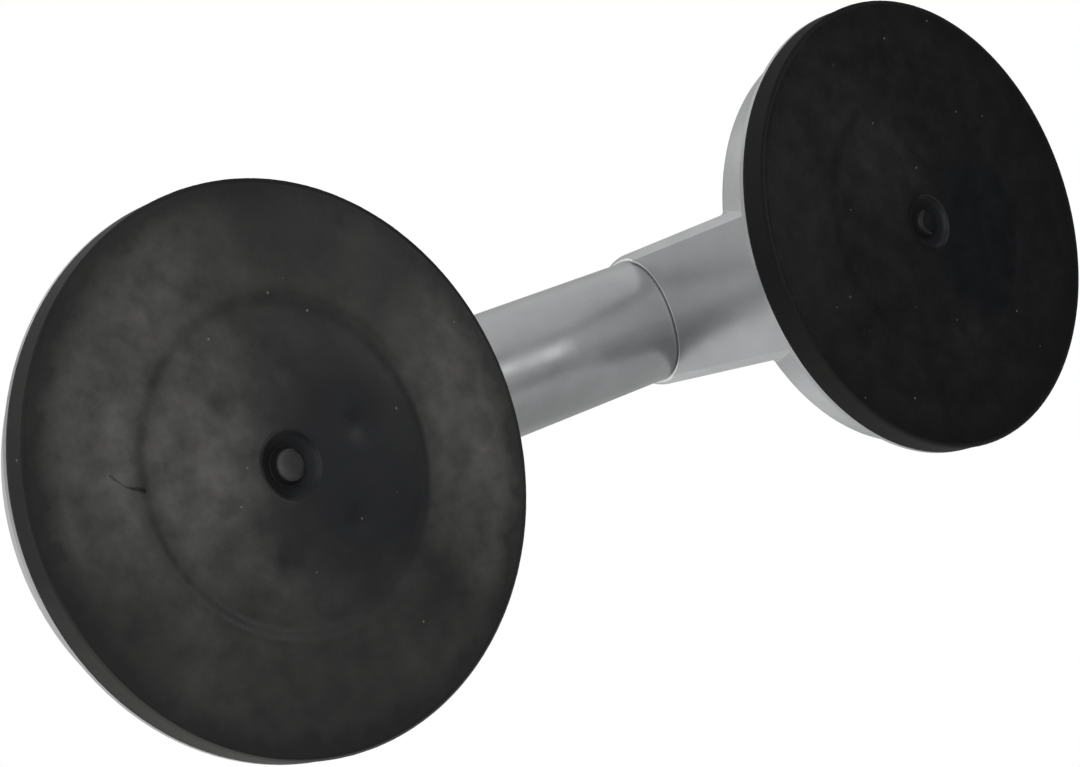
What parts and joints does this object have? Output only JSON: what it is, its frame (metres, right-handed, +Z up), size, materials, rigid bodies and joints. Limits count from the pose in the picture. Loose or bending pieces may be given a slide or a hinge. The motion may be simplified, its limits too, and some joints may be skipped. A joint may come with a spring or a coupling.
{
  "type": "floor tile suction lifter",
  "caption": "Hand lifter for raised-floor tiles: rubber suction cups on cast housings at the ends of a tube grip, each drawn up by a fold-down cam lever.",
  "frame": {"origin": "on the surface under the pads, midway between the two cups", "axes": "+X along the grip to the right-hand cup, +Z up, away from the pads' faces"},
  "size_m": [0.332, 0.12, 0.0952],
  "materials": {
    "silver_paint": "semi-gloss",
    "pad_rubber": "matte",
    "lever_nylon": "matte",
    "cam_nylon": "satin",
    "plug_aluminium": "turned",
    "zinc_steel": "zinc plated",
    "clip_steel": "oiled spring steel"
  },
  "bodies": {
    "frame": {"grip_tube": "silver_paint", "left_end_casting": "silver_paint", "left_tube_plug": "plug_aluminium", "left_tube_bolt": "zinc_steel", "left_cam_plate": "cam_nylon", "left_suction_pad": "pad_rubber", "right_end_casting": "silver_paint", "right_tube_plug": "plug_aluminium", "right_tube_bolt": "zinc_steel", "right_cam_plate": "cam_nylon", "right_suction_pad": "pad_rubber"},
    "left_stud_body": {"left_backing_plate": "zinc_steel", "left_pull_stud": "zinc_steel"},
    "left_lever_body": {"left_lever": "lever_nylon", "left_pivot_pin": "zinc_steel", "left_pin_washer": "zinc_steel", "left_pin_clip": "clip_steel"},
    "right_stud_body": {"right_backing_plate": "zinc_steel", "right_pull_stud": "zinc_steel"},
    "right_lever_body": {"right_lever": "lever_nylon", "right_pivot_pin": "zinc_steel", "right_pin_washer": "zinc_steel", "right_pin_clip": "clip_steel"}
  },
  "joints": [
    {"name": "left_stud_slide", "type": "slide", "parent": "frame", "child": "left_stud_body", "axis": [0, 0, 1], "range_m": [0, 0.005], "deforming": ["left_suction_pad"]},
    {"name": "left_lever_hinge", "type": "hinge", "parent": "left_stud_body", "child": "left_lever_body", "pos_m": [-0.106, 0, 0.0317], "axis": [0, -1, 0], "range_deg": [0, 90]},
    {"name": "right_stud_slide", "type": "slide", "parent": "frame", "child": "right_stud_body", "axis": [0, 0, 1], "range_m": [0, 0.005], "deforming": ["right_suction_pad"]},
    {"name": "right_lever_hinge", "type": "hinge", "parent": "right_stud_body", "child": "right_lever_body", "pos_m": [0.106, 0, 0.0317], "axis": [0, 1, 0], "range_deg": [0, 90]}
  ],
  "couplings": [
    {"joint": "left_stud_slide", "follows": "left_lever_hinge", "m_per_rad": 0.003183},
    {"joint": "right_stud_slide", "follows": "right_lever_hinge", "m_per_rad": 0.003183}
  ]
}
